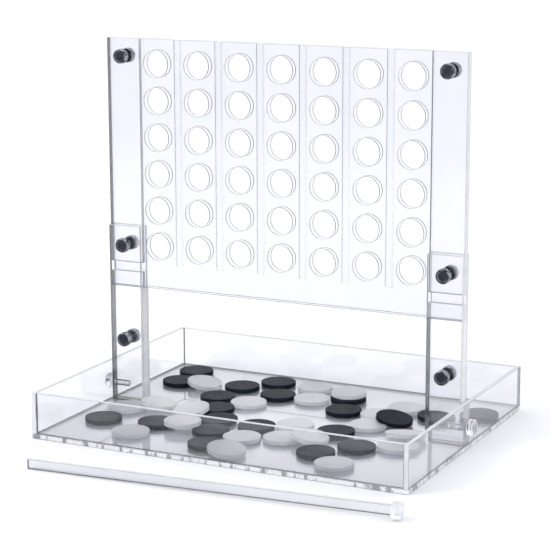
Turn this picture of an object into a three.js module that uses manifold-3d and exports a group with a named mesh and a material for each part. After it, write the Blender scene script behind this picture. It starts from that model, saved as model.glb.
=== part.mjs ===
// Tabletop four-in-a-row set in clear acrylic: a shallow tray, two clamped legs,
// a seven-by-six board between two drilled plates, a release rod and loose discs.
// Millimetres, +Z up. The origin is the centre of the tray's underside,
// +X runs along the tray's long side and +Y points to the back.
import * as THREE from "three";
import { mergeVertices } from "three/addons/utils/BufferGeometryUtils.js";
import Module from "manifold-3d";

const wasm = await Module();
wasm.setup();

// Tray
const TRAY_WIDTH = 508;
const TRAY_DEPTH = 387;
const TRAY_HEIGHT = 59;
const SHEET = 6; // tray floor and walls
const JOINT_GAP = 0.2; // clearance left between fixed neighbours

// Playing grid
const COLUMNS = 7;
const ROWS = 6;
const COLUMN_PITCH = 58.7;
const ROW_PITCH = 47.5;
const DIVIDER_WIDTH = 9.4;
const HOLE_RADIUS = 17.5;
const FIRST_ROW_Z = 217.4;

// Board and legs, front to back in layers
const CHANNEL = 6; // space between the board plates
const BOARD_PLATE = 3;
const LEG_PLATE = 4;
const BOARD_TOP = 486.6;
const BOARD_BOTTOM = 161.6;
const STRIP_BOTTOM = 193.6;
const CORE_TOP = 181;
const LEG_TOP = 242.3;
const FRAME_HALF_WIDTH = 247;

// Clamp bolts, each a knurled cap on a shank and a second cap behind
const CAP_RADIUS = 9.5;
const CAP_LENGTH = 9;
const CAP_CHAMFER = 0.9;
const SHANK_RADIUS = 3;
const SHANK_HOLE_RADIUS = 3.3;
const CAP_BORE_RADIUS = 3.15;
const CAP_BORE_DEPTH = 6;
const SHANK_IN_CAP = 5.5;
const TOP_BOLT_Z = 463.5;
const LOW_BOLT_Z = 91;

// Side thumb screws, which hold the legs to the tray's end walls
const THUMB_HEAD_RADIUS = 10.5;
const THUMB_HEAD_LENGTH = 8;
const THUMB_CHAMFER = 0.8;
const THUMB_SHANK_RADIUS = 4;
const THUMB_HOLE_RADIUS = 4.3;
const THUMB_REACH = 22; // into the leg
const THUMB_Z = 28;

// Release rod, lying on the table in front of the tray
const ROD_LENGTH = 461;
const ROD_HEIGHT = 12;
const ROD_THICKNESS = 5.4;
const KNOB_RADIUS = 10.5;
const KNOB_LENGTH = 10;
const ROD_TURN = 0.0482; // radians about +Z
const ROD_LEFT_END = [-191, -298.3];

// Discs
const DISC_RADIUS = 23.75;
const DISC_THICKNESS = 5.5;
const DISC_CLEARANCE = 0.3;

// Facets
const ROUND_SIDES = 20;
const HOLE_SIDES = 16;

// Worked out from the above
const innerColumn = COLUMN_PITCH - DIVIDER_WIDTH;
const stripInnerX = ((COLUMNS - 1) * COLUMN_PITCH + innerColumn) / 2;
const legCentreX = (FRAME_HALF_WIDTH + stripInnerX) / 2;
const boardPlateY = CHANNEL / 2 + JOINT_GAP;
const legPlateY = boardPlateY + BOARD_PLATE + JOINT_GAP;
const frameOuterY = legPlateY + LEG_PLATE;
const boardOuterY = boardPlateY + BOARD_PLATE;
const floorTop = SHEET + JOINT_GAP;
const wallHeight = TRAY_HEIGHT - floorTop;
const MIDDLE_BOLT_Z = FIRST_ROW_Z;

const acrylic = { color: 0xe6e9f4, roughness: 0.05, metalness: 0, transparent: true, opacity: 0.35 };
const blackMetal = { color: 0x17191f, roughness: 0.3, metalness: 0.6 };
const blackAcrylic = { color: 0x33353d, roughness: 0.25, metalness: 0 };
const frostedAcrylic = { color: 0xd9dbe6, roughness: 0.5, metalness: 0, transparent: true, opacity: 0.6 };

const board = new THREE.Group();

function addPart(name, geometry, look, parent = board) {
  const mesh = new THREE.Mesh(geometry, new THREE.MeshStandardMaterial(look));
  mesh.name = name;
  parent.add(mesh);
  return mesh;
}

// A box given by its low and high corners.
function boxBetween(low, high) {
  const size = high.map((value, i) => value - low[i]);
  const geometry = new THREE.BoxGeometry(...size);
  geometry.translate(...low.map((value, i) => value + size[i] / 2));
  return geometry;
}

// A rectangle in the XZ plane with round holes, given thickness from y0 towards +Y.
function drilledPlate(low, high, holes, y0, thickness) {
  const outline = new THREE.Shape();
  outline.moveTo(low[0], low[1]);
  outline.lineTo(high[0], low[1]);
  outline.lineTo(high[0], high[1]);
  outline.lineTo(low[0], high[1]);
  outline.closePath();
  for (const hole of holes) {
    const circle = new THREE.Path();
    circle.absarc(hole.x, hole.z, hole.radius, 0, 2 * Math.PI, true);
    outline.holes.push(circle);
  }
  const settings = { depth: thickness, bevelEnabled: false, curveSegments: HOLE_SIDES / 2 };
  const geometry = new THREE.ExtrudeGeometry(outline, settings);
  geometry.rotateX(Math.PI / 2);
  geometry.translate(0, y0 + thickness, 0);
  return geometry;
}

// A closed profile of [radius, height] points turned about +Y.
function turned(profile, sides = ROUND_SIDES) {
  const points = profile.map(([radius, height]) => new THREE.Vector2(radius, height));
  return new THREE.LatheGeometry(points, sides);
}

function asSolid(geometry) {
  const bare = geometry.clone();
  bare.deleteAttribute("normal");
  bare.deleteAttribute("uv");
  const merged = mergeVertices(bare, 1e-4);
  const mesh = new wasm.Mesh({
    numProp: 3,
    vertProperties: new Float32Array(merged.attributes.position.array),
    triVerts: new Uint32Array(merged.index.array),
  });
  return new wasm.Manifold(mesh);
}

function asGeometry(solid) {
  const mesh = solid.getMesh();
  const geometry = new THREE.BufferGeometry();
  geometry.setAttribute("position", new THREE.BufferAttribute(new Float32Array(mesh.vertProperties), 3));
  geometry.setIndex(new THREE.BufferAttribute(new Uint32Array(mesh.triVerts), 1));
  geometry.computeVertexNormals();
  return geometry;
}

// ---- Tray: a floor sheet with four walls glued on top of it ----

function thumbHoleWall(side) {
  const halfDepth = TRAY_DEPTH / 2;
  const hole = { x: 0, z: THUMB_Z, radius: THUMB_HOLE_RADIUS };
  const wall = drilledPlate([-halfDepth, floorTop], [halfDepth, TRAY_HEIGHT], [hole], 0, SHEET);
  wall.rotateZ(-side * Math.PI / 2);
  wall.translate(side * (TRAY_WIDTH / 2 - SHEET), 0, 0);
  return wall;
}

function addTray() {
  const halfWidth = TRAY_WIDTH / 2;
  const halfDepth = TRAY_DEPTH / 2;
  const shortHalf = halfWidth - SHEET - JOINT_GAP;
  addPart("tray_floor", boxBetween([-halfWidth, -halfDepth, 0], [halfWidth, halfDepth, SHEET]), acrylic);
  const low = [-shortHalf, -halfDepth, floorTop];
  const high = [shortHalf, SHEET - halfDepth, floorTop + wallHeight];
  const frontWall = boxBetween(low, high);
  addPart("tray_front_wall", frontWall, acrylic);
  addPart("tray_back_wall", frontWall.clone().translate(0, TRAY_DEPTH - SHEET, 0), acrylic);
  addPart("tray_left_wall", thumbHoleWall(-1), acrylic);
  addPart("tray_right_wall", thumbHoleWall(1), acrylic);
}

// ---- Board: two drilled plates on edge strips and column dividers ----

function columnX(column) {
  return (column - (COLUMNS - 1) / 2) * COLUMN_PITCH;
}

function boltHole(side, z) {
  return { x: side * legCentreX, z, radius: SHANK_HOLE_RADIUS };
}

function addBoard() {
  const holes = [];
  for (let column = 0; column < COLUMNS; column += 1) {
    for (let row = 0; row < ROWS; row += 1) {
      holes.push({ x: columnX(column), z: FIRST_ROW_Z + row * ROW_PITCH, radius: HOLE_RADIUS });
    }
  }
  for (const side of [-1, 1]) {
    holes.push(boltHole(side, MIDDLE_BOLT_Z), boltHole(side, TOP_BOLT_Z));
  }
  const low = [-FRAME_HALF_WIDTH, BOARD_BOTTOM];
  const high = [FRAME_HALF_WIDTH, BOARD_TOP];
  addPart("board_front_plate", drilledPlate(low, high, holes, -boardOuterY, BOARD_PLATE), acrylic);
  addPart("board_back_plate", drilledPlate(low, high, holes, boardPlateY, BOARD_PLATE), acrylic);
  for (const [name, side] of [["left", -1], ["right", 1]]) {
    const edges = [side * stripInnerX, side * FRAME_HALF_WIDTH].sort((a, b) => a - b);
    const stripHoles = [boltHole(side, MIDDLE_BOLT_Z), boltHole(side, TOP_BOLT_Z)];
    const corners = [[edges[0], STRIP_BOTTOM], [edges[1], BOARD_TOP]];
    const strip = drilledPlate(...corners, stripHoles, -CHANNEL / 2, CHANNEL);
    addPart(`${name}_edge_strip`, strip, acrylic);
  }
  for (let gap = 1; gap < COLUMNS; gap += 1) {
    const x = (columnX(gap - 1) + columnX(gap)) / 2;
    const half = DIVIDER_WIDTH / 2;
    const divider = boxBetween([x - half, -CHANNEL / 2, STRIP_BOTTOM], [x + half, CHANNEL / 2, BOARD_TOP]);
    addPart(`column_divider_${gap}`, divider, acrylic);
  }
}

// ---- Legs: a stepped core between two plates that also clamp the board ----

function legCore(side) {
  const floor = floorTop + JOINT_GAP;
  const shoulder = BOARD_BOTTOM - JOINT_GAP;
  const thick = boardOuterY;
  const thin = CHANNEL / 2;
  const outline = new THREE.Shape([
    new THREE.Vector2(-thick, floor),
    new THREE.Vector2(thick, floor),
    new THREE.Vector2(thick, shoulder),
    new THREE.Vector2(thin, shoulder),
    new THREE.Vector2(thin, CORE_TOP),
    new THREE.Vector2(-thin, CORE_TOP),
    new THREE.Vector2(-thin, shoulder),
    new THREE.Vector2(-thick, shoulder),
  ]);
  const width = FRAME_HALF_WIDTH - stripInnerX;
  const block = new THREE.ExtrudeGeometry(outline, { depth: width, bevelEnabled: false });
  block.rotateX(Math.PI / 2);
  block.rotateZ(Math.PI / 2);
  block.translate(side * legCentreX - width / 2, 0, 0);
  const boltBore = new THREE.CylinderGeometry(SHANK_HOLE_RADIUS, SHANK_HOLE_RADIUS, 4 * thick, ROUND_SIDES);
  boltBore.translate(side * legCentreX, 0, LOW_BOLT_Z);
  const boreDepth = THUMB_REACH + 1;
  const boreLength = 2 * boreDepth;
  const thumbBore = new THREE.CylinderGeometry(THUMB_HOLE_RADIUS, THUMB_HOLE_RADIUS, boreLength, ROUND_SIDES);
  thumbBore.rotateZ(Math.PI / 2);
  thumbBore.translate(side * FRAME_HALF_WIDTH, 0, THUMB_Z);
  return asGeometry(asSolid(block).subtract(asSolid(boltBore)).subtract(asSolid(thumbBore)));
}

function addLeg(name, side) {
  const edges = [side * stripInnerX, side * FRAME_HALF_WIDTH].sort((a, b) => a - b);
  const low = [edges[0], floorTop + JOINT_GAP];
  const high = [edges[1], LEG_TOP];
  const holes = [boltHole(side, MIDDLE_BOLT_Z), boltHole(side, LOW_BOLT_Z)];
  addPart(`${name}_leg_core`, legCore(side), acrylic);
  addPart(`${name}_leg_front_plate`, drilledPlate(low, high, holes, -frameOuterY, LEG_PLATE), acrylic);
  addPart(`${name}_leg_back_plate`, drilledPlate(low, high, holes, legPlateY, LEG_PLATE), acrylic);
}

// ---- Clamp bolts: the cap screw comes from the front, the cap nut sits behind ----

function capScrew(grip) {
  const tip = CAP_LENGTH + JOINT_GAP + grip + JOINT_GAP + SHANK_IN_CAP;
  return turned([
    [0, 0],
    [CAP_RADIUS - CAP_CHAMFER, 0],
    [CAP_RADIUS, CAP_CHAMFER],
    [CAP_RADIUS, CAP_LENGTH - CAP_CHAMFER],
    [CAP_RADIUS - CAP_CHAMFER, CAP_LENGTH],
    [SHANK_RADIUS, CAP_LENGTH],
    [SHANK_RADIUS, tip],
    [0, tip],
  ]);
}

function capNut() {
  return turned([
    [0, CAP_BORE_DEPTH],
    [CAP_BORE_RADIUS, CAP_BORE_DEPTH],
    [CAP_BORE_RADIUS, 0],
    [CAP_RADIUS - CAP_CHAMFER, 0],
    [CAP_RADIUS, CAP_CHAMFER],
    [CAP_RADIUS, CAP_LENGTH - CAP_CHAMFER],
    [CAP_RADIUS - CAP_CHAMFER, CAP_LENGTH],
    [0, CAP_LENGTH],
  ]);
}

function addBolt(name, side, z, halfGrip) {
  const x = side * legCentreX;
  const screw = addPart(`${name}_cap_screw`, capScrew(2 * halfGrip), blackMetal);
  screw.position.set(x, -halfGrip - JOINT_GAP - CAP_LENGTH, z);
  const nut = addPart(`${name}_cap_nut`, capNut(), blackMetal);
  nut.position.set(x, halfGrip + JOINT_GAP, z);
}

// ---- Side thumb screws ----

function addThumbScrew(name, side) {
  const wallAndGap = TRAY_WIDTH / 2 - FRAME_HALF_WIDTH;
  const tip = THUMB_HEAD_LENGTH + JOINT_GAP + wallAndGap + THUMB_REACH;
  const screw = addPart(`${name}_thumb_screw`, turned([
    [0, 0],
    [THUMB_HEAD_RADIUS - THUMB_CHAMFER, 0],
    [THUMB_HEAD_RADIUS, THUMB_CHAMFER],
    [THUMB_HEAD_RADIUS, THUMB_HEAD_LENGTH - THUMB_CHAMFER],
    [THUMB_HEAD_RADIUS - THUMB_CHAMFER, THUMB_HEAD_LENGTH],
    [THUMB_SHANK_RADIUS, THUMB_HEAD_LENGTH],
    [THUMB_SHANK_RADIUS, tip],
    [0, tip],
  ]), acrylic);
  screw.rotation.z = side * Math.PI / 2;
  screw.position.set(side * (TRAY_WIDTH / 2 + THUMB_HEAD_LENGTH + JOINT_GAP), 0, THUMB_Z);
}

// ---- Release rod and its knob, resting on the table ----

function addReleaseRod() {
  const pose = new THREE.Group();
  const lift = Math.asin((KNOB_RADIUS - ROD_HEIGHT / 2) / ROD_LENGTH);
  pose.rotation.set(0, -lift, ROD_TURN, "ZYX");
  pose.position.set(ROD_LEFT_END[0], ROD_LEFT_END[1], 0);
  board.add(pose);
  const halfThickness = ROD_THICKNESS / 2;
  const rod = boxBetween([0, -halfThickness, 0], [ROD_LENGTH, halfThickness, ROD_HEIGHT]);
  addPart("release_rod", rod, acrylic, pose);
  const knob = addPart("release_rod_knob", turned([
    [0, 0],
    [KNOB_RADIUS - THUMB_CHAMFER, 0],
    [KNOB_RADIUS, THUMB_CHAMFER],
    [KNOB_RADIUS, KNOB_LENGTH - THUMB_CHAMFER],
    [KNOB_RADIUS - THUMB_CHAMFER, KNOB_LENGTH],
    [0, KNOB_LENGTH],
  ]), acrylic, pose);
  knob.rotation.z = -Math.PI / 2;
  knob.position.set(ROD_LENGTH + JOINT_GAP, 0, ROD_HEIGHT / 2);
}

// ---- Discs, lying loose in the tray; the last one of each list shares a stack ----

const BLACK_DISCS = [
  [-204, -102], [-206, 149], [-112, 106], [-118, 47], [-67, -46], [-10, -52], [-76, 145],
  [-49, 88], [60, 59], [90, -31], [139, -76], [103, -117], [177, 88], [42, 115],
];
const CLEAR_DISCS = [
  [-68, 39], [-142, -139], [-5, -101], [32, -27], [-19, 143], [0, 90], [130, 104], [142, -149],
  [40, 121],
];

function addDiscs(name, places, look) {
  const shape = new THREE.CylinderGeometry(DISC_RADIUS, DISC_RADIUS, DISC_THICKNESS, ROUND_SIDES);
  shape.rotateX(Math.PI / 2);
  places.forEach(([x, y], i) => {
    const disc = addPart(`${name}_${String(i + 1).padStart(2, "0")}`, shape, look);
    const onStack = places === CLEAR_DISCS && i === places.length - 1;
    const level = onStack ? DISC_THICKNESS + DISC_CLEARANCE : 0;
    disc.position.set(x, y, SHEET + DISC_CLEARANCE + DISC_THICKNESS / 2 + level);
  });
}

addTray();
addBoard();
addLeg("left", -1);
addLeg("right", 1);
for (const [name, side] of [["left", -1], ["right", 1]]) {
  addBolt(`${name}_top`, side, TOP_BOLT_Z, boardOuterY);
  addBolt(`${name}_middle`, side, MIDDLE_BOLT_Z, frameOuterY);
  addBolt(`${name}_low`, side, LOW_BOLT_Z, frameOuterY);
  addThumbScrew(name, side);
}
addReleaseRod();
addDiscs("black_disc", BLACK_DISCS, blackAcrylic);
addDiscs("clear_disc", CLEAR_DISCS, frostedAcrylic);

export default board;
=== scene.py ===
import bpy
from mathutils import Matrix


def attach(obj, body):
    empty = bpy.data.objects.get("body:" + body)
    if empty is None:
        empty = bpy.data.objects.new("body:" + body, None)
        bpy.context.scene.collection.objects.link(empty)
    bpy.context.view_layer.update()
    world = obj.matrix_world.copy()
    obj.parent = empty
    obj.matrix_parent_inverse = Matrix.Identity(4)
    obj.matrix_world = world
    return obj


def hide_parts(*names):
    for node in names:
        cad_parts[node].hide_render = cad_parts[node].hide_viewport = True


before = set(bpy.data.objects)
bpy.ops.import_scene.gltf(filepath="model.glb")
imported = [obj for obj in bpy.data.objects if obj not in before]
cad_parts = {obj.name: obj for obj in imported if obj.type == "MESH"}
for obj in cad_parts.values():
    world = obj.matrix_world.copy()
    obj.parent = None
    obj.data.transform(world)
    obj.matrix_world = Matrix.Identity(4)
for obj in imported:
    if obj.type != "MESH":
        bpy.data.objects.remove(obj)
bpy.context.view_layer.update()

# A clear acrylic tabletop four-in-a-row set: the fine shapes and the materials that go over the packed
# frame. Lengths are in millimetres, and place() scales them to metres. Shaders and the studio are in metres.

import math

import bmesh
import bpy
from mathutils import Matrix, Vector

MM = 0.001

# The tray.
TRAY_LENGTH = 508
TRAY_DEPTH = 387
TRAY_HEIGHT = 59
SHEET = 6
JOINT_GAP = 0.2
FLOOR_TOP = SHEET + JOINT_GAP
WALL_BOTTOM = FLOOR_TOP

# The board: a front and a back plate with a 6 mm channel for the discs between them.
COLUMNS = 7
ROWS = 6
COLUMN_PITCH = 58.7
ROW_PITCH = 47.5
FIRST_ROW_Z = 217.4
VIEW_HOLE_RADIUS = 17.5
DIVIDER_WIDTH = 9.4
CHANNEL = 6
PLATE_FACE_Y = 3.2
BOARD_PLATE = 3
BOARD_OUTER_Y = PLATE_FACE_Y + BOARD_PLATE
BOARD_TOP = 486.6
BOARD_BOTTOM = 161.6
STRIP_BOTTOM = 193.6
HALF_WIDTH = 247
STRIP_INNER_X = 200.75
LEG_CENTRE_X = (HALF_WIDTH + STRIP_INNER_X) / 2

# The legs.
LEG_FACE_Y = 6.4
LEG_PLATE = 4
LEG_FOOT = FLOOR_TOP + JOINT_GAP
LEG_TOP = 242.3
CORE_TOP = 181
CORE_STEP = 161.4
FRAME_OUTER_Y = LEG_FACE_Y + LEG_PLATE

# The clamp bolts, the side thumb screws and the release rod.
CAP_RADIUS = 9.5
CAP_DEPTH = 9
CAP_SHOULDER_RADIUS = 8.9
CAP_DISH_RADIUS = 6.2
CAP_DISH_DEPTH = 0.35
CAP_BORE_RADIUS = 3.15
CAP_BORE_DEPTH = 6
RIDGE_DEPTH = 0.45
SHANK_RADIUS = 3
SHANK_HOLE = 3.3
SHANK_IN_CAP = 5.5
THREAD_PITCH = 0.8
THREAD_DEPTH = 0.3
THREAD_START = 0.2
BOLT_HEIGHTS = {"top": 463.5, "middle": FIRST_ROW_Z, "low": 91}
THUMB_RADIUS = 10.5
THUMB_DEPTH = 8
THUMB_SHANK = 4
THUMB_HOLE = 4.3
THUMB_REACH = 22
THUMB_TIP_EASE = 0.8
THUMB_Z = 28
ROD_LENGTH = 461
ROD_HEIGHT = 12
ROD_THICK = 5.4
ROD_EDGE = 0.5
# How far the rod is turned on the table, in radians.
ROD_TURN = 0.0482
ROD_LEFT_END = (-191, -298.3)
KNOB_RADIUS = 10.5
KNOB_DEPTH = 10

# The discs.
DISC_RADIUS = 23.75
DISC_THICK = 5.5
DISC_EASE = 0.45
DISC_GAP = 0.3
FLAT_DISC_Z = SHEET + DISC_GAP
LEANING_DISC_Z = FLOOR_TOP + DISC_GAP
ONE_DISC_UP = DISC_THICK + DISC_GAP

# The eased edge of a sheet, and the points round a circle.
EDGE = 0.35
FINE = 96

# A cement line: its thickness, and how far it stays inside the wall's inner and outer faces.
SEAM = 0.12
WELD_INNER_INSET = 0.4
WELD_OUTER_INSET = 0.3

STAND = "stand"
SIDES = (("left", -1), ("right", 1))
ENDS = (("front", -1), ("back", 1))

# The centres of the discs on the tray's floor. The last clear one lies on the last black one.
BLACK_DISCS = [
    (-204, -102), (-206, 149), (-112, 106), (-118, 47), (-67, -46), (-10, -52), (-76, 145),
    (-49, 88), (60, 59), (90, -31), (139, -76), (103, -117), (177, 88), (42, 115),
]
CLEAR_DISCS = [
    (-68, 39), (-142, -139), (-5, -101), (32, -27), (-19, 143), (0, 90), (130, 104), (142, -149),
    (40, 121),
]
# Discs that only the visual model has: flat ones, then ones that lean, each with the disc that it leans
# on, then one that lies level on two others.
MORE_BLACK = [(-202, 94), (-94, -3), (-133, -90), (-53, -93), (-32, -143), (222, 118)]
MORE_CLEAR = [(41, -82), (115, 12), (182, -54), (-202, -46), (109, 60)]
LEANING_BLACK = [((139, 40), (109, 48))]
LEANING_CLEAR = [
    ((-162, 91), (-202, 94)),
    ((-168, -25), (-202, -46)),
    ((-115, -32), (-94, -3)),
    ((5, -162), (-32, -143)),
    ((75, -74), (41, -82)),
    ((175, -15), (182, -54)),
]
BRIDGING_CLEAR = (-95, -90)


# ---- Materials ----

ACRYLIC_IOR = 1.49

# Nearly all of a noise pattern's values lie between these.
NOISE_LOW = 0.3
NOISE_HIGH = 0.7

# The dark and light colours of a cut edge, seen from outside and from inside the sheet. From inside they are
# painted shade, for the dark lines an edge shows through the sheet.
EDGE_OUTSIDE = ((0.90, 0.905, 0.93), (0.97, 0.972, 0.985))
EDGE_INSIDE_PAINTED_SHADE = ((0.07, 0.075, 0.09), (0.18, 0.185, 0.21))

# Sockets that share their names with others of the same node, so they are found by number: the colour
# sockets of a Mix node, and the two shaders that a Mix Shader node blends.
MIX_FACTOR = 0
MIX_A = 6
MIX_B = 7
MIX_RESULT = 2
FIRST_SHADER = 1
SECOND_SHADER = 2


def new_material(name):
    """A material with a bare Principled shader, and its node tree's nodes, links and shader."""
    material = bpy.data.materials.new(name)
    material.use_nodes = True
    nodes = material.node_tree.nodes
    return material, nodes, material.node_tree.links, nodes["Principled BSDF"]


def noise(nodes, links, scale, detail=3.0):
    """A noise pattern in the piece's own coordinates, with scale in waves per metre."""
    place = nodes.new("ShaderNodeTexCoord")
    pattern = nodes.new("ShaderNodeTexNoise")
    pattern.inputs["Scale"].default_value = scale
    pattern.inputs["Detail"].default_value = detail
    links.new(place.outputs["Object"], pattern.inputs["Vector"])
    return pattern.outputs["Fac"]


def between(nodes, links, value, low, high):
    """A noise pattern's value spread over low to high."""
    spread = nodes.new("ShaderNodeMapRange")
    spread.inputs["From Min"].default_value = NOISE_LOW
    spread.inputs["From Max"].default_value = NOISE_HIGH
    spread.inputs["To Min"].default_value = low
    spread.inputs["To Max"].default_value = high
    links.new(value, spread.inputs["Value"])
    return spread.outputs["Result"]


def colour_ramp(nodes, links, value, first, last):
    """A colour that follows value between two stops, each a position and a colour."""
    ramp = nodes.new("ShaderNodeValToRGB")
    for stop, (position, colour) in zip(ramp.color_ramp.elements, (first, last)):
        stop.position = position
        stop.color = (*colour, 1)
    links.new(value, ramp.inputs["Fac"])
    return ramp.outputs["Color"]


def colour_between(nodes, links, value, dark, light):
    """A colour from dark to light over the middle of a noise pattern's range."""
    return colour_ramp(nodes, links, value, (0.35, dark), (0.65, light))


def set_colour(nodes, links, shader, value, dark, light):
    """Gives a shader a colour that varies from dark to light with a noise pattern."""
    links.new(colour_between(nodes, links, value, dark, light), shader.inputs["Base Color"])


def set_roughness(nodes, links, shader, value, low, high):
    """Gives a shader a roughness that varies from low to high with a noise pattern."""
    links.new(between(nodes, links, value, low, high), shader.inputs["Roughness"])


def set_clearness(shader, ior, transmission):
    """Lets light through a shader: 1 is clear and 0 is solid."""
    shader.inputs["IOR"].default_value = ior
    shader.inputs["Transmission Weight"].default_value = transmission


def add_bump(nodes, links, shader, height, strength, distance):
    """Makes a surface look uneven by up to distance, in metres."""
    bump = nodes.new("ShaderNodeBump")
    bump.inputs["Strength"].default_value = strength
    bump.inputs["Distance"].default_value = distance
    links.new(height, bump.inputs["Height"])
    links.new(bump.outputs["Normal"], shader.inputs["Normal"])


def clear_acrylic(name, light, dark, roughness):
    """Polished clear sheet or bar: the tint drifts a little and the surface waves very slightly."""
    material, nodes, links, shader = new_material(name)
    set_colour(nodes, links, shader, noise(nodes, links, 9), dark, light)
    set_roughness(nodes, links, shader, noise(nodes, links, 60), 0.0, roughness)
    wave = noise(nodes, links, 14, detail=0)
    add_bump(nodes, links, shader, wave, 0.03, 0.0004)
    set_clearness(shader, ACRYLIC_IOR, 1)
    inside = nodes.new("ShaderNodeVolumeAbsorption")
    inside.inputs["Color"].default_value = (0.79, 0.80, 0.83, 1)
    inside.inputs["Density"].default_value = 3
    links.new(inside.outputs["Volume"], nodes["Material Output"].inputs["Volume"])
    return material


def edge_colour(nodes, links, streak, from_inside):
    """The dull part's colour on a cut edge, bright from outside and dark from inside the sheet, where the
    dark is painted shade.
    """
    side = nodes.new("ShaderNodeMix")
    side.data_type = "RGBA"
    links.new(from_inside, side.inputs[MIX_FACTOR])
    links.new(colour_between(nodes, links, streak, *EDGE_OUTSIDE), side.inputs[MIX_A])
    links.new(colour_between(nodes, links, streak, *EDGE_INSIDE_PAINTED_SHADE), side.inputs[MIX_B])
    return side.outputs[MIX_RESULT]


def cut_edge(name, outside_dullness, inside_shade_share):
    """The cut edge of a clear sheet: clear, with a dull part that differs from outside and from inside; seen
    from inside it is painted shade.
    """
    material, nodes, links, shader = new_material(name)
    streak = noise(nodes, links, 90)
    set_colour(nodes, links, shader, streak, *EDGE_OUTSIDE)
    set_roughness(nodes, links, shader, streak, 0.01, 0.08)
    add_bump(nodes, links, shader, noise(nodes, links, 260), 0.05, 0.0002)
    set_clearness(shader, ACRYLIC_IOR, 1)
    from_inside = nodes.new("ShaderNodeNewGeometry").outputs["Backfacing"]
    dull_and_shade = nodes.new("ShaderNodeBsdfDiffuse")
    links.new(edge_colour(nodes, links, streak, from_inside), dull_and_shade.inputs["Color"])
    share = nodes.new("ShaderNodeMapRange")
    share.inputs["To Min"].default_value = outside_dullness
    share.inputs["To Max"].default_value = inside_shade_share
    links.new(from_inside, share.inputs["Value"])
    mix = nodes.new("ShaderNodeMixShader")
    links.new(share.outputs["Result"], mix.inputs["Fac"])
    links.new(shader.outputs["BSDF"], mix.inputs[FIRST_SHADER])
    links.new(dull_and_shade.outputs["BSDF"], mix.inputs[SECOND_SHADER])
    links.new(mix.outputs["Shader"], nodes["Material Output"].inputs["Surface"])
    return material


def chamfer_line():
    """The fine chamfer along every cut edge, coloured grey so that it reads as a thin grey line: painted
    shade.
    """
    material, nodes, links, shader = new_material("chamfer_line")
    streak = noise(nodes, links, 120)
    # The grey is painted shade for the dark line along the edge.
    set_colour(nodes, links, shader, streak, (0.22, 0.225, 0.25), (0.40, 0.405, 0.44))
    set_roughness(nodes, links, shader, streak, 0.25, 0.5)
    set_clearness(shader, ACRYLIC_IOR, 0.3)
    return material


def sawn_edge():
    """The tray's lowest edge, left as the saw cut it: clear and bright with short dark dashes."""
    material, nodes, links, shader = new_material("sawn_edge")
    place_in = nodes.new("ShaderNodeTexCoord")
    stretch = nodes.new("ShaderNodeMapping")
    stretch.inputs["Scale"].default_value = (1, 1, 0.4)
    marks = nodes.new("ShaderNodeTexNoise")
    marks.inputs["Scale"].default_value = 110
    marks.inputs["Detail"].default_value = 2
    links.new(place_in.outputs["Object"], stretch.inputs["Vector"])
    links.new(stretch.outputs["Vector"], marks.inputs["Vector"])
    dashes = marks.outputs["Fac"]
    tint = colour_ramp(nodes, links, dashes, (0.40, (0.32, 0.325, 0.37)), (0.50, (0.93, 0.935, 0.96)))
    links.new(tint, shader.inputs["Base Color"])
    set_roughness(nodes, links, shader, dashes, 0.45, 0.15)
    add_bump(nodes, links, shader, dashes, 0.4, 0.0006)
    set_clearness(shader, ACRYLIC_IOR, 0.35)
    return material


def frosted_acrylic():
    """Clear disc with a fine sanded face."""
    material, nodes, links, shader = new_material("frosted_acrylic")
    cloud = noise(nodes, links, 45)
    set_colour(nodes, links, shader, cloud, (0.94, 0.943, 0.975), (0.985, 0.987, 0.998))
    set_roughness(nodes, links, shader, cloud, 0.34, 0.46)
    add_bump(nodes, links, shader, noise(nodes, links, 1800), 0.15, 0.0001)
    set_clearness(shader, ACRYLIC_IOR, 0.75)
    return material


def black_acrylic():
    """Black disc: a satin face with faint handling marks."""
    material, nodes, links, shader = new_material("black_acrylic")
    cloud = noise(nodes, links, 40)
    set_colour(nodes, links, shader, cloud, (0.012, 0.014, 0.021), (0.020, 0.023, 0.034))
    marks = noise(nodes, links, 320, detail=6)
    set_roughness(nodes, links, shader, marks, 0.24, 0.36)
    add_bump(nodes, links, shader, marks, 0.05, 0.0001)
    shader.inputs["IOR"].default_value = 1.3
    shader.inputs["Specular IOR Level"].default_value = 0.03
    return material


def black_metal(name, dark, light, metallic, wear_and_glint_scale, specular):
    """Black anodised metal with light patches in a noise pattern of the given scale: worn patches, and
    painted glints on the rim.
    """
    material, nodes, links, shader = new_material(name)
    wear_and_glints = noise(nodes, links, wear_and_glint_scale, detail=5)
    set_colour(nodes, links, shader, wear_and_glints, dark, light)
    set_roughness(nodes, links, shader, wear_and_glints, 0.22, 0.42)
    add_bump(nodes, links, shader, wear_and_glints, 0.08, 0.00005)
    shader.inputs["Metallic"].default_value = metallic
    shader.inputs["Specular IOR Level"].default_value = specular
    return material


def weld_seam():
    """The cement line between two sheets: clear, with grains of trapped air and darker dashes."""
    material, nodes, links, shader = new_material("weld_seam")
    grain = noise(nodes, links, 420, detail=4)
    set_colour(nodes, links, shader, grain, (0.20, 0.20, 0.26), (0.90, 0.91, 0.96))
    set_roughness(nodes, links, shader, grain, 0.05, 0.5)
    add_bump(nodes, links, shader, grain, 0.4, 0.0003)
    set_clearness(shader, 1.45, 0.7)
    return material


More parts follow.
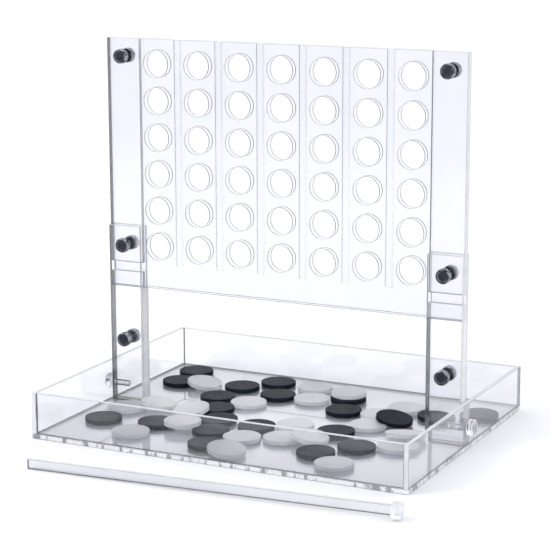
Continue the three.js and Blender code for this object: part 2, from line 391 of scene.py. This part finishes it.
CLEAR = clear_acrylic("clear_acrylic", (0.985, 0.986, 0.99), (0.972, 0.974, 0.98), 0.012)
# The tray's walls and floor are darker, bluer copies of the clear acrylic. The extra tint is painted shade,
# and the floor's stands in for the table's shadow beneath it.
SHADED_TRAY_WALL = clear_acrylic("shaded_tray_wall_acrylic", (0.950, 0.953, 0.970), (0.925, 0.929, 0.950), 0.02)
SHADED_TRAY_FLOOR = clear_acrylic("shaded_tray_floor_acrylic", (0.940, 0.945, 0.972), (0.912, 0.918, 0.952), 0.03)
# The board's plates are a darker, bluer copy of the clear acrylic. The extra tint is painted shade.
SHADED_BOARD_CLEAR = clear_acrylic("shaded_board_acrylic", (0.922, 0.926, 0.940), (0.908, 0.912, 0.927), 0.012)
# Both edges turn dark when seen from inside a sheet: painted shade for the dark lines along the edges.
CUT_EDGE = cut_edge("cut_edge", 0.62, 0.75)
SOFT_EDGE = cut_edge("soft_edge", 0.15, 0.03)
SAWN_EDGE = sawn_edge()
CHAMFER = chamfer_line()
POLISHED = clear_acrylic("polished_acrylic", (0.82, 0.828, 0.852), (0.745, 0.753, 0.785), 0.04)
FROSTED = frosted_acrylic()
BLACK = black_acrylic()
METAL = black_metal("black_metal", (0.006, 0.008, 0.013), (0.030, 0.034, 0.047), 0, 420, 0.15)
# The rim's light, nearly mirror-bright patches are painted glints.
METAL_RIM = black_metal("black_metal_rim", (0.012, 0.015, 0.022), (0.50, 0.52, 0.58), 0.95, 240, 0.5)
WELD = weld_seam()


# ---- Shapes ----

# Edges sharper than this stay sharp in shading, in degrees.
SHARP_ANGLE = 24
# Points closer than this are one point.
SAME_POINT = 0.001
# How far a face points along its sheet's facing axis: above the first it's a broad face, and between the
# two it's a chamfer.
BROAD_FACE = 0.9
CHAMFER_FACE = 0.3

# How a shape drawn in its own XY plane is turned into place.
FLAT_ON_TABLE = Matrix.Identity(3)
FACING_FRONT = Matrix(((1, 0, 0), (0, 0, -1), (0, 1, 0)))
FACING_RIGHT = Matrix(((0, 0, 1), (1, 0, 0), (0, 1, 0)))


def place(turn, where):
    """The matrix that turns a shape and moves it to where, in millimetres, and scales it to metres."""
    move = Matrix.Translation(Vector(where) * MM)
    return move @ turn.to_4x4() @ Matrix.Scale(MM, 4)


def finish_piece(mesh, name, material, body, nodes):
    """Makes the object for a mesh in metres and tells the frame what it rides on and stands for."""
    mesh.name = name
    for face in mesh.polygons:
        face.use_smooth = True
    mesh.set_sharp_from_angle(angle=math.radians(SHARP_ANGLE))
    mesh.materials.clear()
    mesh.materials.append(material)
    piece = bpy.data.objects.new(name, mesh)
    bpy.context.collection.objects.link(piece)
    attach(piece, body)
    if nodes:
        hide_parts(*nodes)
    return piece


def tidy_mesh(mesh, matrix):
    """Joins doubled points, faces everything outward and moves the mesh into place."""
    work = bmesh.new()
    work.from_mesh(mesh)
    bmesh.ops.remove_doubles(work, verts=work.verts, dist=SAME_POINT)
    bmesh.ops.recalc_face_normals(work, faces=work.faces)
    work.to_mesh(mesh)
    work.free()
    mesh.transform(matrix)
    return mesh


def add_loop(curve, points):
    """Adds a closed outline of straight stretches to a curve."""
    loop = curve.splines.new("POLY")
    loop.points.add(len(points) - 1)
    for knot, (x, y) in zip(loop.points, points):
        knot.co = (x, y, 0, 1)
    loop.use_cyclic_u = True


def circle(centre, radius, sides=FINE):
    steps = [2 * math.pi * i / sides for i in range(sides)]
    return [(centre[0] + radius * math.cos(a), centre[1] + radius * math.sin(a)) for a in steps]


def rectangle(low, high):
    return [(low[0], low[1]), (high[0], low[1]), (high[0], high[1]), (low[0], high[1])]


def evaluated_mesh(thing):
    """The mesh that a curve or an object with modifiers comes to."""
    bpy.context.view_layer.update()
    depsgraph = bpy.context.evaluated_depsgraph_get()
    return bpy.data.meshes.new_from_object(thing.evaluated_get(depsgraph))


def cut_sheet(outline, holes, thickness, edge=EDGE):
    """A sheet lying in its own XY plane, half its thickness each way, with round holes and eased edges."""
    curve = bpy.data.curves.new("sheet", "CURVE")
    curve.dimensions = "2D"
    curve.fill_mode = "BOTH"
    curve.extrude = thickness / 2 - edge
    curve.bevel_depth = edge
    curve.bevel_resolution = 0
    curve.offset = -edge
    add_loop(curve, outline)
    for centre, radius in holes:
        add_loop(curve, circle(centre, radius))
    holder = bpy.data.objects.new("sheet", curve)
    bpy.context.collection.objects.link(holder)
    mesh = evaluated_mesh(holder)
    bpy.data.objects.remove(holder)
    bpy.data.curves.remove(curve)
    return mesh


def mark_sides(piece, facing, material, chamfer=None):
    """Gives a piece's sides another material, and its chamfers a third one or the same."""
    piece.data.materials.append(material)
    piece.data.materials.append(chamfer or material)
    for face in piece.data.polygons:
        lean = abs(face.normal[facing])
        if lean < BROAD_FACE:
            face.material_index = 2 if lean > CHAMFER_FACE else 1


def add_sheet(
    name, outline, holes, thickness, turn, where, nodes,
    facing=1, faces=CLEAR, edges=CUT_EDGE, chamfer=CHAMFER,
):
    """A clear sheet of the stand, with its broad faces across the facing axis."""
    mesh = tidy_mesh(cut_sheet(outline, holes, thickness), place(turn, where))
    piece = finish_piece(mesh, name, faces, STAND, nodes)
    mark_sides(piece, facing, edges, chamfer)
    return piece


def turned_mesh(profile, sides=FINE, ridge_depth=0.0):
    """A profile of (radius, height, ridged) points turned about Z; ridged rings dip at every other point."""
    points, faces, rings = [], [], []
    for radius, height, ridged in profile:
        if radius == 0:
            rings.append([len(points)])
            points.append((0, 0, height))
            continue
        ring = []
        for i in range(sides):
            angle = 2 * math.pi * i / sides
            reach = radius - (ridge_depth if ridged and i % 2 else 0)
            ring.append(len(points))
            points.append((reach * math.cos(angle), reach * math.sin(angle), height))
        rings.append(ring)
    for low, high in zip(rings, rings[1:]):
        for i in range(sides):
            j = i + 1
            corners = [low[i % len(low)], low[j % len(low)], high[j % len(high)], high[i % len(high)]]
            faces.append(list(dict.fromkeys(corners)))
    mesh = bpy.data.meshes.new("turned")
    mesh.from_pydata(points, [], faces)
    return mesh


# ---- Tray ----


HALF_TRAY_X = TRAY_LENGTH / 2
HALF_TRAY_Y = TRAY_DEPTH / 2


def add_tray_floor():
    whole = rectangle((-HALF_TRAY_X, -HALF_TRAY_Y), (HALF_TRAY_X, HALF_TRAY_Y))
    add_sheet(
        "tray_floor_sheet", whole, [], SHEET, FLAT_ON_TABLE, (0, 0, SHEET / 2), ["tray_floor"],
        facing=2, faces=SHADED_TRAY_FLOOR, edges=SAWN_EDGE,
    )


def add_tray_walls():
    """The front and back walls stand between the left and right ones, which have the thumb screws' holes."""
    short = HALF_TRAY_X - SHEET - JOINT_GAP
    long_wall = rectangle((-short, WALL_BOTTOM), (short, TRAY_HEIGHT))
    for end_name, end in ENDS:
        where = (0, end * (HALF_TRAY_Y - SHEET / 2), 0)
        node = f"tray_{end_name}_wall"
        name = f"tray_{end_name}_sheet"
        add_sheet(name, long_wall, [], SHEET, FACING_FRONT, where, [node], faces=SHADED_TRAY_WALL)
    end_wall = rectangle((-HALF_TRAY_Y, WALL_BOTTOM), (HALF_TRAY_Y, TRAY_HEIGHT))
    holes = [((0, THUMB_Z), THUMB_HOLE)]
    for side_name, side in SIDES:
        where = (side * (HALF_TRAY_X - SHEET / 2), 0, 0)
        node = f"tray_{side_name}_wall"
        name = f"tray_{side_name}_sheet"
        add_sheet(name, end_wall, holes, SHEET, FACING_RIGHT, where, [node], facing=0, faces=SHADED_TRAY_WALL)


def add_weld(name, low, high):
    """A cement line between the floor and a wall, given by its corners on the floor."""
    mesh = cut_sheet(rectangle(low, high), [], SEAM, edge=SEAM / 4)
    tidy_mesh(mesh, place(FLAT_ON_TABLE, (0, 0, SHEET + JOINT_GAP / 2)))
    finish_piece(mesh, name, WELD, STAND, [])


def add_welds():
    inner_x = HALF_TRAY_X - SHEET
    inner_y = HALF_TRAY_Y - SHEET
    end_y = HALF_TRAY_Y - WELD_OUTER_INSET
    for end_name, end in ENDS:
        ys = sorted((end * (inner_y + WELD_INNER_INSET), end * end_y))
        add_weld(f"weld_{end_name}", (-inner_x, ys[0]), (inner_x, ys[1]))
    for side_name, side in SIDES:
        xs = sorted((side * (inner_x + WELD_INNER_INSET), side * (HALF_TRAY_X - WELD_OUTER_INSET)))
        add_weld(f"weld_{side_name}", (xs[0], -end_y), (xs[1], end_y))


# ---- Board and legs ----


def bolt_holes(side, *heights):
    """The clamp bolts' holes on one side, at the heights named."""
    return [((side * LEG_CENTRE_X, BOLT_HEIGHTS[height]), SHANK_HOLE) for height in heights]


def add_board():
    middle = (COLUMNS - 1) / 2
    holes = [
        (((column - middle) * COLUMN_PITCH, FIRST_ROW_Z + row * ROW_PITCH), VIEW_HOLE_RADIUS)
        for column in range(COLUMNS)
        for row in range(ROWS)
    ]
    holes += bolt_holes(-1, "middle", "top") + bolt_holes(1, "middle", "top")
    outline = rectangle((-HALF_WIDTH, BOARD_BOTTOM), (HALF_WIDTH, BOARD_TOP))
    plate_y = PLATE_FACE_Y + BOARD_PLATE / 2
    for face_name, face in ENDS:
        where = (0, face * plate_y, 0)
        node = f"board_{face_name}_plate"
        name = f"board_{face_name}_sheet"
        add_sheet(name, outline, holes, BOARD_PLATE, FACING_FRONT, where, [node], faces=SHADED_BOARD_CLEAR)


def add_strips():
    for side_name, side in SIDES:
        xs = sorted((side * STRIP_INNER_X, side * HALF_WIDTH))
        outline = rectangle((xs[0], STRIP_BOTTOM), (xs[1], BOARD_TOP))
        holes = bolt_holes(side, "middle", "top")
        node = f"{side_name}_edge_strip"
        add_sheet(f"{side_name}_strip_sheet", outline, holes, CHANNEL, FACING_FRONT, (0, 0, 0), [node])


def add_dividers():
    half = DIVIDER_WIDTH / 2
    for gap in range(1, COLUMNS):
        x = (gap - COLUMNS / 2) * COLUMN_PITCH
        outline = rectangle((x - half, STRIP_BOTTOM), (x + half, BOARD_TOP))
        add_sheet(
            f"divider_bar_{gap}", outline, [], CHANNEL, FACING_FRONT, (0, 0, 0), [f"column_divider_{gap}"],
            edges=SOFT_EDGE, chamfer=SOFT_EDGE,
        )


def bore(piece, radius, length, turn, where):
    """Cuts a round hole of this length into a piece, centred on where."""
    end = length / 2
    mesh = turned_mesh([(0, -end, 0), (radius, -end, 0), (radius, end, 0), (0, end, 0)])
    tidy_mesh(mesh, place(turn, where))
    tool = bpy.data.objects.new("tool", mesh)
    bpy.context.collection.objects.link(tool)
    cut = piece.modifiers.new("bore", "BOOLEAN")
    cut.object = tool
    cut.solver = "EXACT"
    bored = evaluated_mesh(piece)
    piece.modifiers.clear()
    old = piece.data
    piece.data = bored
    bpy.data.meshes.remove(old)
    bpy.data.objects.remove(tool)


def add_leg_plates(side_name, side):
    xs = sorted((side * STRIP_INNER_X, side * HALF_WIDTH))
    outline = rectangle((xs[0], LEG_FOOT), (xs[1], LEG_TOP))
    holes = bolt_holes(side, "low", "middle")
    plate_y = LEG_FACE_Y + LEG_PLATE / 2
    for face_name, face in ENDS:
        where = (0, face * plate_y, 0)
        node = f"{side_name}_leg_{face_name}_plate"
        name = f"{side_name}_leg_{face_name}_sheet"
        add_sheet(name, outline, holes, LEG_PLATE, FACING_FRONT, where, [node])


def add_leg_core(side_name, side):
    """The block between a leg's plates, as thick as the board, with a thin tongue up into its channel."""
    thick, thin = BOARD_OUTER_Y, CHANNEL / 2
    steps = [
        (-thick, LEG_FOOT), (thick, LEG_FOOT), (thick, CORE_STEP), (thin, CORE_STEP),
        (thin, CORE_TOP), (-thin, CORE_TOP), (-thin, CORE_STEP), (-thick, CORE_STEP),
    ]
    where = (side * LEG_CENTRE_X, 0, 0)
    width = HALF_WIDTH - STRIP_INNER_X
    name = f"{side_name}_leg_block"
    core = add_sheet(name, steps, [], width, FACING_RIGHT, where, [f"{side_name}_leg_core"])
    low_bolt = (side * LEG_CENTRE_X, 0, BOLT_HEIGHTS["low"])
    bore(core, SHANK_HOLE, 4 * thick, FACING_FRONT, low_bolt)
    bore(core, THUMB_HOLE, 2 * (THUMB_REACH + 1), FACING_RIGHT, (side * HALF_WIDTH, 0, THUMB_Z))


# ---- Clamp bolts, thumb screws, release rod ----


def cap_profile():
    """The outside of a knurled cap, from the middle of its dished face to the rim next to the plate."""
    dish = [(0, CAP_DISH_DEPTH, 0), (CAP_DISH_RADIUS, CAP_DISH_DEPTH, 0), (6.6, 0, 0), (8.3, 0, 0)]
    grip = [(CAP_SHOULDER_RADIUS, 0.35, 0), (CAP_RADIUS, 1.1, 1), (CAP_RADIUS, CAP_DEPTH - 1.6, 1)]
    return dish + grip + [(CAP_SHOULDER_RADIUS, CAP_DEPTH - 0.9, 0), (8.6, CAP_DEPTH, 0)]


def threads(start, end):
    """Shallow thread rings on the shank between two heights."""
    root = SHANK_RADIUS - THREAD_DEPTH
    rings = []
    for i in range(int((end - start) / THREAD_PITCH)):
        base = start + i * THREAD_PITCH
        rings += [(SHANK_RADIUS, base, 0), (root, base + THREAD_PITCH / 2, 0)]
    return rings + [(root, end, 0), (0, end, 0)]


def add_cap(name, body, node, profile, turn, where):
    mesh = tidy_mesh(turned_mesh(profile, ridge_depth=RIDGE_DEPTH), place(turn, where))
    cap = finish_piece(mesh, name, METAL, body, [node])
    mark_sides(cap, 1, METAL_RIM)


def add_bolt(side_name, side, height, half_grip):
    """A knurled screw from the front and a knurled nut behind, half_grip from the middle to each face."""
    x, z = side * LEG_CENTRE_X, BOLT_HEIGHTS[height]
    name = f"{side_name}_{height}"
    outer_y = half_grip + JOINT_GAP + CAP_DEPTH
    tip = CAP_DEPTH + 2 * half_grip + 2 * JOINT_GAP + SHANK_IN_CAP
    shank = [(SHANK_RADIUS, CAP_DEPTH, 0)] + threads(CAP_DEPTH + THREAD_START, tip)
    facing_back = FACING_FRONT @ Matrix.Rotation(math.pi, 3, "X")
    add_cap(
        f"{name}_knurled_screw", STAND, f"{name}_cap_screw", cap_profile() + shank,
        facing_back, (x, -outer_y, z),
    )
    floor = CAP_DEPTH - CAP_BORE_DEPTH
    inside = [(CAP_BORE_RADIUS, CAP_DEPTH, 0), (CAP_BORE_RADIUS, floor, 0), (0, floor, 0)]
    add_cap(
        f"{name}_knurled_nut", f"{name}_cap_nut", f"{name}_cap_nut", cap_profile() + inside,
        FACING_FRONT, (x, outer_y, z),
    )


def knob_profile(radius, depth):
    """A turned clear knob with a rounded rim and a shallow dish in its outer face."""
    dish = [(0, 0.5, 0), (radius - 4.2, 0.5, 0), (radius - 3.6, 0, 0)]
    near_rim = [(radius - 1.2, 0, 0), (radius - 0.4, 0.35, 0), (radius, 1.2, 0)]
    far_rim = [(reach, depth - height, 0) for reach, height, _ in reversed(near_rim)]
    return dish + near_rim + far_rim


def add_thumb_screw(side_name, side):
    wall_and_gap = HALF_TRAY_X - HALF_WIDTH
    tip = THUMB_DEPTH + JOINT_GAP + wall_and_gap + THUMB_REACH
    shank = [
        (THUMB_SHANK, THUMB_DEPTH, 0), (THUMB_SHANK, tip - THUMB_TIP_EASE, 0),
        (THUMB_SHANK - THUMB_TIP_EASE, tip, 0), (0, tip, 0),
    ]
    inward = FACING_RIGHT if side < 0 else FACING_RIGHT @ Matrix.Rotation(math.pi, 3, "X")
    where = (side * (HALF_TRAY_X + THUMB_DEPTH + JOINT_GAP), 0, THUMB_Z)
    mesh = tidy_mesh(turned_mesh(knob_profile(THUMB_RADIUS, THUMB_DEPTH) + shank), place(inward, where))
    node = f"{side_name}_thumb_screw"
    finish_piece(mesh, f"{side_name}_thumb_knob", POLISHED, node, [node])


def add_rod():
    """The rod lies on its edge on the table at one end, and its knob holds the other end up."""
    lift = math.asin((KNOB_RADIUS - ROD_HEIGHT / 2) / ROD_LENGTH)
    lie = Matrix.Rotation(ROD_TURN, 3, "Z") @ Matrix.Rotation(-lift, 3, "Y")
    start = Vector((*ROD_LEFT_END, 0))
    outline = rectangle((0, 0), (ROD_LENGTH, ROD_HEIGHT))
    mesh = tidy_mesh(cut_sheet(outline, [], ROD_THICK, edge=ROD_EDGE), place(lie @ FACING_FRONT, start))
    bar = finish_piece(mesh, "release_bar", POLISHED, "release_rod", ["release_rod"])
    mark_sides(bar, 1, CUT_EDGE, CHAMFER)
    along = lie @ FACING_RIGHT @ Matrix.Rotation(math.pi, 3, "X")
    where = start + lie @ Vector((ROD_LENGTH + JOINT_GAP + KNOB_DEPTH, 0, ROD_HEIGHT / 2))
    profile = knob_profile(KNOB_RADIUS, KNOB_DEPTH) + [(0, KNOB_DEPTH, 0)]
    mesh = tidy_mesh(turned_mesh(profile), place(along, where))
    finish_piece(mesh, "release_knob", POLISHED, "release_rod", ["release_rod_knob"])


# ---- Discs ----


def disc_mesh():
    """A disc standing on its own origin, with eased edges."""
    face_radius = DISC_RADIUS - DISC_EASE
    return turned_mesh([
        (0, 0, 0), (face_radius, 0, 0), (DISC_RADIUS, DISC_EASE, 0),
        (DISC_RADIUS, DISC_THICK - DISC_EASE, 0), (face_radius, DISC_THICK, 0), (0, DISC_THICK, 0),
    ])


def add_disc(name, where, material, body=STAND, nodes=(), turn=FLAT_ON_TABLE):
    mesh = tidy_mesh(disc_mesh(), place(turn, where))
    return finish_piece(mesh, name, material, body, list(nodes))


def add_leaning_disc(name, centre, support, material):
    """A disc with one side on the flat disc at support and its far rim on the floor."""
    away = Vector((centre[0] - support[0], centre[1] - support[1]))
    tilt = math.atan(ONE_DISC_UP / away.length)
    across = math.atan2(away.y, away.x)
    turn = Matrix.Rotation(across, 3, "Z") @ Matrix.Rotation(tilt, 3, "Y")
    height = LEANING_DISC_Z + DISC_RADIUS * math.sin(tilt)
    add_disc(name, (*centre, height), material, turn=turn)


def add_solid_discs():
    """The discs that the frame has too, each on its own body."""
    for number, centre in enumerate(BLACK_DISCS, start=1):
        node = f"black_disc_{number:02d}"
        add_disc(f"black_piece_{number:02d}", (*centre, FLAT_DISC_Z), BLACK, node, [node])
    for number, centre in enumerate(CLEAR_DISCS, start=1):
        node = f"clear_disc_{number:02d}"
        stacked = number == len(CLEAR_DISCS)
        height = FLAT_DISC_Z + (ONE_DISC_UP if stacked else 0)
        add_disc(f"clear_piece_{number:02d}", (*centre, height), FROSTED, node, [node])


def add_more_discs():
    """The discs that only the visual model has, all fixed to the stand."""
    for number, centre in enumerate(MORE_BLACK, start=1):
        add_disc(f"more_black_{number}", (*centre, FLAT_DISC_Z), BLACK)
    for number, centre in enumerate(MORE_CLEAR, start=1):
        add_disc(f"more_clear_{number}", (*centre, FLAT_DISC_Z), FROSTED)
    for number, (centre, support) in enumerate(LEANING_BLACK, start=1):
        add_leaning_disc(f"leaning_black_{number}", centre, support, BLACK)
    for number, (centre, support) in enumerate(LEANING_CLEAR, start=1):
        add_leaning_disc(f"leaning_clear_{number}", centre, support, FROSTED)
    add_disc("bridging_clear", (*BRIDGING_CLEAR, FLAT_DISC_Z + ONE_DISC_UP), FROSTED)


# ---- Studio ----

# Lengths and places here are in metres, and angles in degrees.
TABLE_HALF_SIZE = 12
TABLE_DROP = 0.0004
WORLD_STRENGTH = 1.52
SOFTBOX_SIZE = (0.9, 0.6)
SOFTBOX_WATTS = 14
SOFTBOX_PLACE = (-1.3, -1.6, 1.7)
SOFTBOX_TARGET = (0, 0, 0.25)
CAMERA_PLACE = (1.0195, -2.0903, 0.6935)
CAMERA_YAW = 26.2146
CAMERA_PITCH = -12.0895
CAMERA_ROLL = -0.146
CAMERA_SENSOR_MM = 36
CAMERA_LENS_MM = 123.08
# Light passes many clear sheets one behind another before it reaches the camera.
GLASS_BOUNCES = 96
TRANSPARENT_BOUNCES = 24


def add_floor():
    """A plain pale table top, just under the tray."""
    mesh = bpy.data.meshes.new("studio_floor")
    corner = (TABLE_HALF_SIZE, TABLE_HALF_SIZE)
    corners = [(x, y, 0) for x, y in rectangle((-corner[0], -corner[1]), corner)]
    mesh.from_pydata(corners, [], [(0, 1, 2, 3)])
    floor = bpy.data.objects.new("studio_floor", mesh)
    floor.location.z = -TABLE_DROP
    material, _, _, shader = new_material("studio_floor")
    shader.inputs["Base Color"].default_value = (0.95, 0.95, 0.95, 1)
    shader.inputs["Roughness"].default_value = 0.9
    shader.inputs["Specular IOR Level"].default_value = 0.1
    mesh.materials.append(material)
    bpy.context.collection.objects.link(floor)


def add_world():
    """Even white light from all round, a little darker overhead."""
    world = bpy.data.worlds.new("studio")
    bpy.context.scene.world = world
    world.use_nodes = True
    nodes, links = world.node_tree.nodes, world.node_tree.links
    place_in = nodes.new("ShaderNodeTexCoord")
    parts = nodes.new("ShaderNodeSeparateXYZ")
    links.new(place_in.outputs["Generated"], parts.inputs["Vector"])
    sky = colour_ramp(nodes, links, parts.outputs["Z"], (0.35, (1, 1, 1)), (0.8, (0.62, 0.63, 0.68)))
    shade = nodes["Background"]
    links.new(sky, shade.inputs["Color"])
    shade.inputs["Strength"].default_value = WORLD_STRENGTH
    world.cycles.sampling_method = "NONE"


def add_softbox():
    """One large soft lamp, high on the left in front, for glints on the metal and the rims."""
    data = bpy.data.lights.new("softbox", "AREA")
    data.shape = "RECTANGLE"
    data.size, data.size_y = SOFTBOX_SIZE
    data.energy = SOFTBOX_WATTS
    softbox = bpy.data.objects.new("softbox", data)
    softbox.location = SOFTBOX_PLACE
    aim = Vector(SOFTBOX_TARGET) - softbox.location
    softbox.rotation_euler = aim.to_track_quat("-Z", "Y").to_euler()
    bpy.context.collection.objects.link(softbox)


def add_camera():
    """The camera at the photograph's angle, from the right and above."""
    data = bpy.data.cameras.new("camera")
    data.sensor_width = CAMERA_SENSOR_MM
    data.lens = CAMERA_LENS_MM
    data.clip_start, data.clip_end = 0.05, 100
    camera = bpy.data.objects.new("camera", data)
    turn = (
        Matrix.Rotation(math.radians(CAMERA_YAW), 3, "Z")
        @ Matrix.Rotation(math.radians(90 + CAMERA_PITCH), 3, "X")
        @ Matrix.Rotation(math.radians(CAMERA_ROLL), 3, "Z")
    )
    camera.matrix_world = Matrix.Translation(CAMERA_PLACE) @ turn.to_4x4()
    bpy.context.collection.objects.link(camera)
    bpy.context.scene.camera = camera


def set_render():
    """True colours, and enough bounces for light to get through all the sheets."""
    scene = bpy.context.scene
    scene.view_settings.view_transform = "Standard"
    scene.cycles.max_bounces = GLASS_BOUNCES
    scene.cycles.transmission_bounces = GLASS_BOUNCES
    scene.cycles.glossy_bounces = GLASS_BOUNCES
    scene.cycles.transparent_max_bounces = TRANSPARENT_BOUNCES


add_tray_floor()
add_tray_walls()
add_welds()
add_board()
add_strips()
add_dividers()
for side_name, side in SIDES:
    add_leg_plates(side_name, side)
    add_leg_core(side_name, side)
    add_bolt(side_name, side, "top", BOARD_OUTER_Y)
    add_bolt(side_name, side, "middle", FRAME_OUTER_Y)
    add_bolt(side_name, side, "low", FRAME_OUTER_Y)
    add_thumb_screw(side_name, side)
add_rod()
add_solid_discs()
add_more_discs()
add_floor()
add_world()
add_softbox()
add_camera()
set_render()
